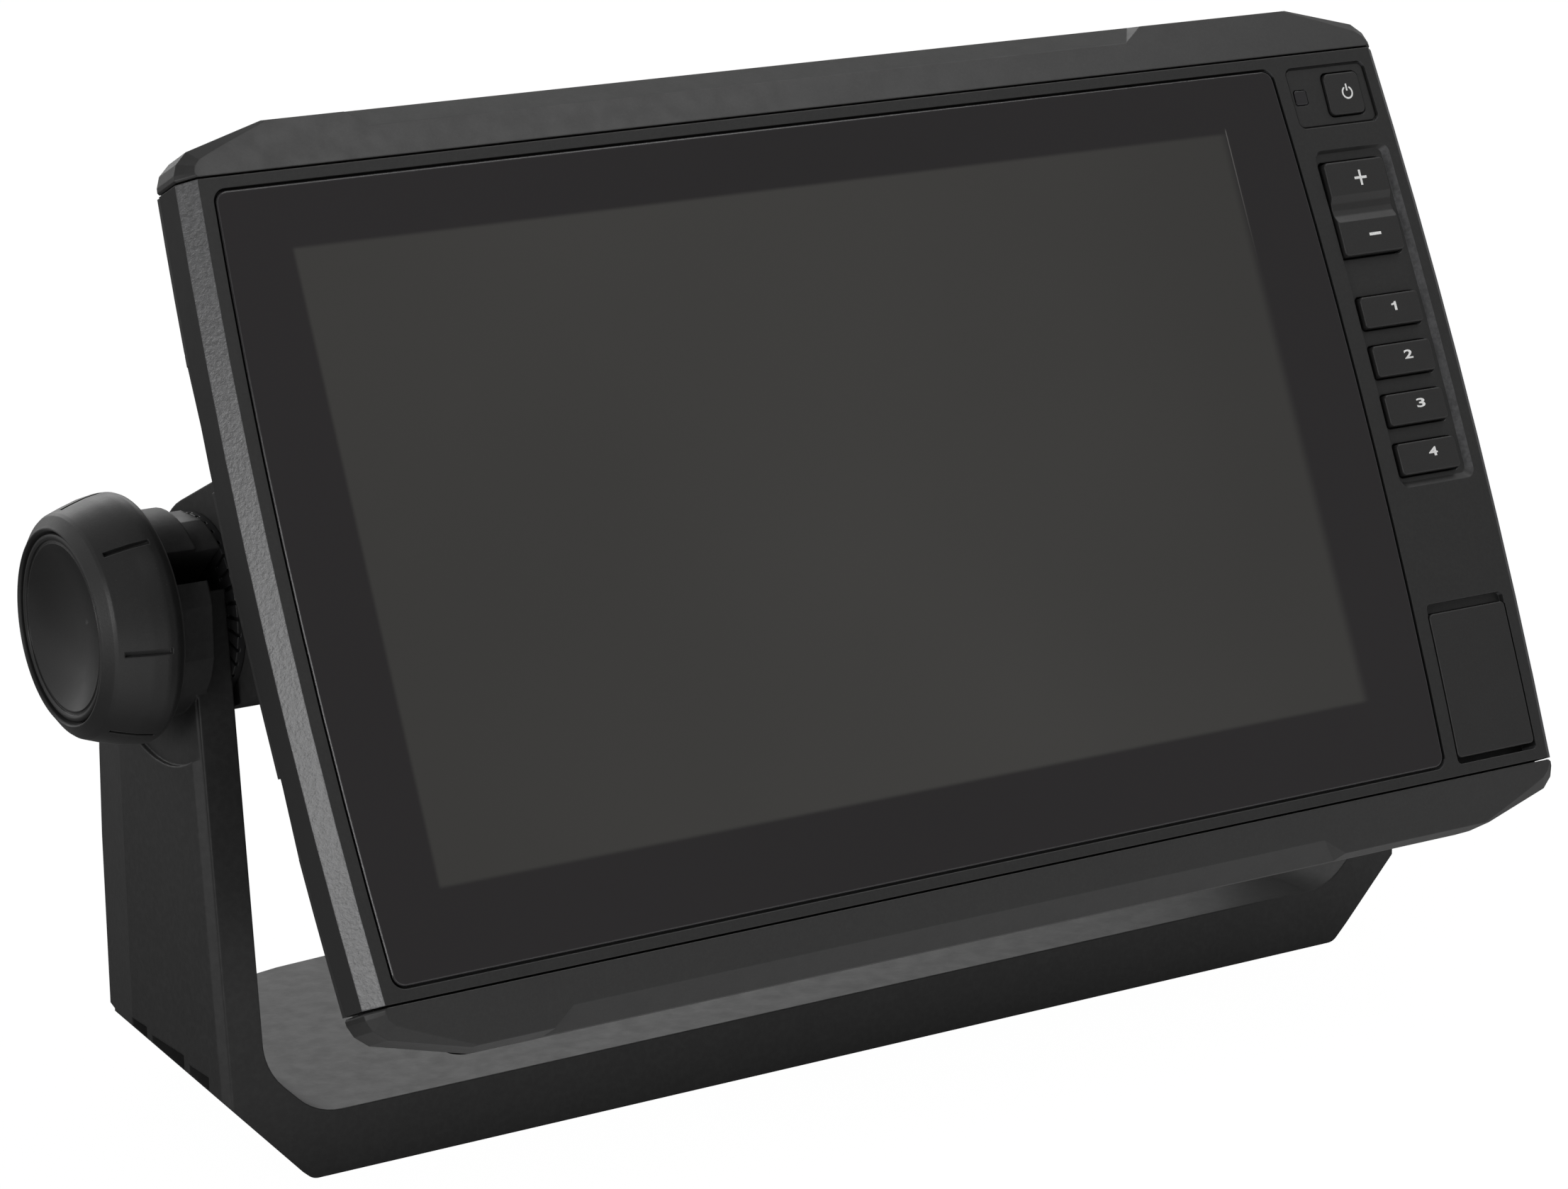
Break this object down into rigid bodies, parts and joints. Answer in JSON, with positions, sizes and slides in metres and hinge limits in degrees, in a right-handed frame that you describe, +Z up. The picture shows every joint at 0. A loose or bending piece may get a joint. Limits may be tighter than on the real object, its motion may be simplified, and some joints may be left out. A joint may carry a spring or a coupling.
{
  "type": "marine chartplotter display on a tilting bail bracket",
  "caption": "Flush-glass marine display with a side key column and card door, clamped by side knobs in a tilting bail bracket.",
  "frame": {"origin": "centre of the bracket's underside, where it stands on the dash", "axes": "+X to the right seen from the front, +Y towards the back, +Z up; the screen faces -Y, leaning back 24 degrees at rest"},
  "size_m": [0.3, 0.1329, 0.1881],
  "materials": {
    "housing_plastic": "fine-textured dark grey moulded plastic",
    "bezel_plastic": "fine-textured dark grey moulded plastic",
    "bracket_plastic": "glass-filled nylon, satin with a fine grain",
    "knob_rubber": "soft-touch overmoulding, matte",
    "knob_cap_plastic": "satin dished plastic",
    "cover_glass": "flush optical glass with a black printed border",
    "adhesive": "black foam adhesive",
    "lcd": "liquid crystal cell, switched off",
    "aluminium": "plain sheet and cast aluminium",
    "tinned_steel": "thin pressed steel",
    "circuit_board": "green solder mask over glass fibre",
    "key_plastic": "satin key cap with a light legend",
    "silicone": "moulded silicone rubber",
    "seal_rubber": "black rubber seal",
    "stainless": "stainless steel",
    "brass": "turned brass",
    "friction_plastic": "acetal friction ring",
    "sensor_lens": "smoked clear plastic",
    "ribbon": "flexible flat cable",
    "ceramic": "ceramic patch antenna",
    "socket_plastic": "glass-filled connector plastic"
  },
  "bodies": {
    "bracket": {"bail_bracket": "bracket_plastic"},
    "head": {"front_bezel": "bezel_plastic", "rear_housing": "housing_plastic", "case_seal": "seal_rubber", "case_screws": "stainless", "cover_glass": "cover_glass", "glass_adhesive": "adhesive", "lcd_panel": "lcd", "lcd_backlight": "tinned_steel", "lcd_ribbon_cable": "ribbon", "heat_spreader": "aluminium", "spreader_screws": "stainless", "main_board": "circuit_board", "board_screws": "stainless", "shield_can": "tinned_steel", "gnss_antenna": "ceramic", "buzzer": "socket_plastic", "keypad_board": "circuit_board", "keypad_mat": "silicone", "light_sensor_window": "sensor_lens", "card_door_pin": "stainless", "card_reader": "tinned_steel", "vent_plug": "socket_plastic", "connector_board": "circuit_board", "connector_board_screws": "stainless", "power_socket": "socket_plastic", "network_sockets": "socket_plastic", "data_bus_socket": "socket_plastic", "sonar_socket": "socket_plastic", "left_pivot_insert": "brass", "left_tilt_ring": "friction_plastic", "right_pivot_insert": "brass", "right_tilt_ring": "friction_plastic"},
    "top_cover": {"top_trim": "bezel_plastic"},
    "bottom_cover": {"bottom_trim": "bezel_plastic"},
    "power_button": {"power_key": "key_plastic"},
    "zoom_button": {"zoom_rocker": "key_plastic"},
    "button_1": {"key_1": "key_plastic"},
    "button_2": {"key_2": "key_plastic"},
    "button_3": {"key_3": "key_plastic"},
    "button_4": {"key_4": "key_plastic"},
    "door": {"card_door": "bezel_plastic", "card_door_seal": "seal_rubber"},
    "left_washer": {"left_friction_washer": "friction_plastic"},
    "left_clamp": {"left_knob": "knob_rubber", "left_knob_cap": "knob_cap_plastic", "left_knob_stud": "stainless"},
    "right_washer": {"right_friction_washer": "friction_plastic"},
    "right_clamp": {"right_knob": "knob_rubber", "right_knob_cap": "knob_cap_plastic", "right_knob_stud": "stainless"}
  },
  "joints": [
    {"name": "head_tilt", "type": "hinge", "parent": "bracket", "child": "head", "pos_m": [0, -0.0195, 0.1025], "axis": [-1, 0, 0], "range_deg": [-30, 36]},
    {"name": "power_press", "type": "slide", "parent": "head", "child": "power_button", "axis": [0, 0.9135, -0.4067], "range_m": [0, 0.0006], "stiffness_N_per_m": 800},
    {"name": "key_1_press", "type": "slide", "parent": "head", "child": "button_1", "axis": [0, 0.9135, -0.4067], "range_m": [0, 0.0006], "stiffness_N_per_m": 800},
    {"name": "key_2_press", "type": "slide", "parent": "head", "child": "button_2", "axis": [0, 0.9135, -0.4067], "range_m": [0, 0.0006], "stiffness_N_per_m": 800},
    {"name": "key_3_press", "type": "slide", "parent": "head", "child": "button_3", "axis": [0, 0.9135, -0.4067], "range_m": [0, 0.0006], "stiffness_N_per_m": 800},
    {"name": "key_4_press", "type": "slide", "parent": "head", "child": "button_4", "axis": [0, 0.9135, -0.4067], "range_m": [0, 0.0006], "stiffness_N_per_m": 800},
    {"name": "zoom_rock", "type": "hinge", "parent": "head", "child": "zoom_button", "pos_m": [0.11545, -0.04222, 0.15011], "axis": [1, 0, 0], "range_deg": [-2.5, 2.5], "stiffness_Nm_per_rad": 0.05},
    {"name": "door_swing", "type": "hinge", "parent": "head", "child": "door", "pos_m": [0.1146, -0.08785, 0.05324], "axis": [1, 0, 0], "range_deg": [0, 95]},
    {"name": "top_trim_pull", "type": "slide", "parent": "head", "child": "top_cover", "axis": [0, -0.9135, 0.4067], "range_m": [0, 0.012]},
    {"name": "bottom_trim_pull", "type": "slide", "parent": "head", "child": "bottom_cover", "axis": [0, -0.9135, 0.4067], "range_m": [0, 0.012]},
    {"name": "left_knob_travel", "type": "slide", "parent": "head", "child": "left_washer", "axis": [-1, 0, 0], "range_m": [0, 0.00201]},
    {"name": "left_knob_turn", "type": "hinge", "parent": "left_washer", "child": "left_clamp", "pos_m": [-0.143, -0.0195, 0.1025], "axis": [-1, 0, 0], "range_deg": [0, 720]},
    {"name": "right_knob_travel", "type": "slide", "parent": "head", "child": "right_washer", "axis": [1, 0, 0], "range_m": [0, 0.00201]},
    {"name": "right_knob_turn", "type": "hinge", "parent": "right_washer", "child": "right_clamp", "pos_m": [0.143, -0.0195, 0.1025], "axis": [1, 0, 0], "range_deg": [0, 720]}
  ],
  "couplings": [
    {"joint": "left_knob_travel", "follows": "left_knob_turn", "m_per_rad": 0.00015915},
    {"joint": "right_knob_travel", "follows": "right_knob_turn", "m_per_rad": 0.00015915}
  ]
}
